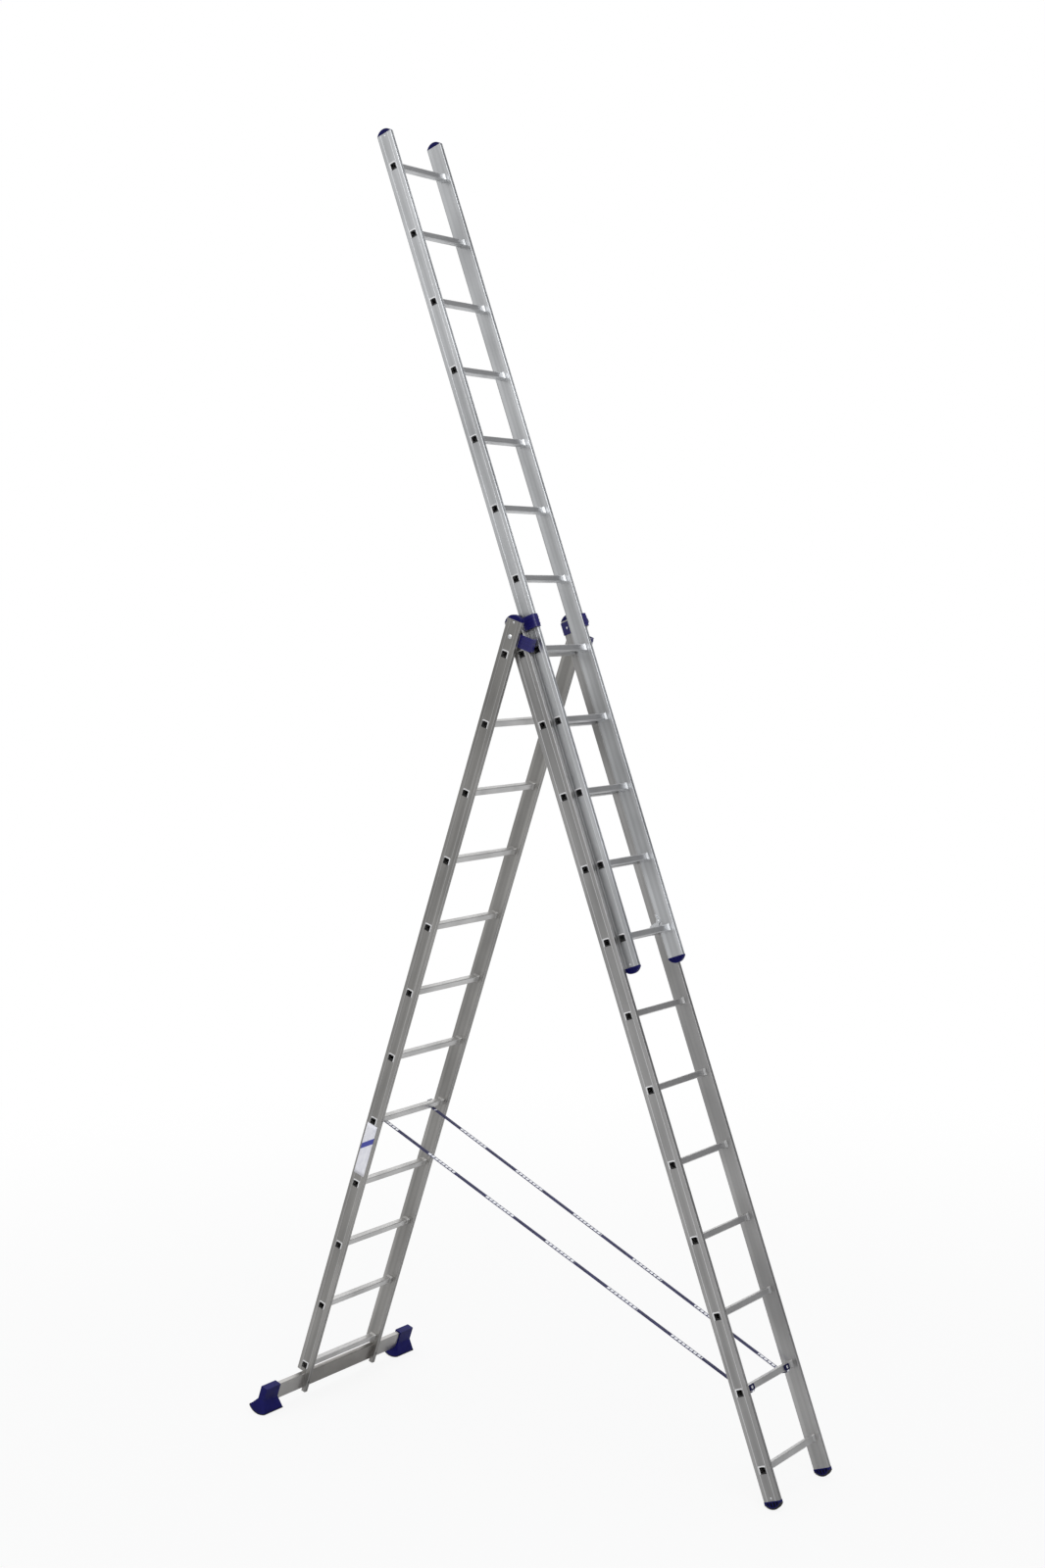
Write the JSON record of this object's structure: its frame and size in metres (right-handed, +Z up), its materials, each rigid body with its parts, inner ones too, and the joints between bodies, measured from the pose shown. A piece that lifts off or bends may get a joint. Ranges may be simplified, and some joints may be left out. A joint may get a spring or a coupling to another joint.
{
  "type": "extension ladder",
  "caption": "Hinged aluminium extension ladder standing as an A-frame, its third section raised above the hinge, with a stabiliser bar.",
  "frame": {"origin": "on the floor, at the centre of the whole ladder's floor box, with the ladder standing open", "axes": "+Z up, +X across the rungs to the ladder's right, +Y from the front section towards the rear section"},
  "size_m": [0.9776, 2.2562, 5.0533],
  "materials": {
    "stile_aluminium": "mill-finish extrusion, faint lengthwise lines",
    "rung_aluminium": "mill-finish tube, ribbed tread",
    "bar_aluminium": "mill-finish tube",
    "navy_plastic": "moulded, lightly grained",
    "navy_steel": "gloss powder coat",
    "black_rubber": "matt",
    "navy_webbing": "woven webbing",
    "zinc_steel": "zinc plated"
  },
  "bodies": {
    "rear_section": {"rear_stile_left": "stile_aluminium", "rear_stile_right": "stile_aluminium", "rear_rungs": "rung_aluminium", "rear_caps": "navy_plastic", "rear_cap_rivets": "zinc_steel", "stabiliser_bar": "bar_aluminium", "boots": "navy_plastic", "boot_soles": "black_rubber", "bar_bolts": "zinc_steel", "rear_guide_left": "navy_steel", "rear_guide_right": "navy_steel", "rear_guide_bolts": "zinc_steel", "rear_guide_nuts": "zinc_steel", "strap_left": "navy_webbing", "strap_right": "navy_webbing", "rear_strap_clips": "navy_plastic", "rear_strap_rivets": "zinc_steel"},
    "front_section": {"front_stile_left": "stile_aluminium", "front_stile_right": "stile_aluminium", "front_rungs": "rung_aluminium", "front_caps": "navy_plastic", "front_cap_rivets": "zinc_steel", "front_feet": "navy_plastic", "foot_treads": "black_rubber", "foot_rivets": "zinc_steel", "front_guide_left": "navy_steel", "front_guide_right": "navy_steel", "front_guide_rivets": "zinc_steel", "strap_ends": "navy_webbing", "front_strap_clips": "navy_plastic", "front_strap_rivets": "zinc_steel"},
    "top_section": {"top_stile_left": "stile_aluminium", "top_stile_right": "stile_aluminium", "top_rungs": "rung_aluminium", "top_upper_caps": "navy_plastic", "top_lower_caps": "navy_plastic", "top_cap_rivets": "zinc_steel", "latch_pins": "zinc_steel"},
    "latch_left": {"latch_left": "zinc_steel"},
    "latch_right": {"latch_right": "zinc_steel"}
  },
  "joints": [
    {"name": "leg_fold", "type": "hinge", "parent": "rear_section", "child": "front_section", "pos_m": [0, 0.02458, 3.04223], "axis": [1, 0, 0], "range_deg": [0, 38.9], "deforming": ["strap_left", "strap_right"]},
    {"name": "section_slide", "type": "slide", "parent": "front_section", "child": "top_section", "axis": [0, 0.333, 0.9429], "range_m": [-1.96, 0]},
    {"name": "latch_left_swing", "type": "hinge", "parent": "top_section", "child": "latch_left", "pos_m": [-0.149, -0.41284, 2.0262], "axis": [1, 0, 0], "range_deg": [0, 132]},
    {"name": "latch_right_swing", "type": "hinge", "parent": "top_section", "child": "latch_right", "pos_m": [0.149, -0.41284, 2.0262], "axis": [1, 0, 0], "range_deg": [0, 132]}
  ]
}
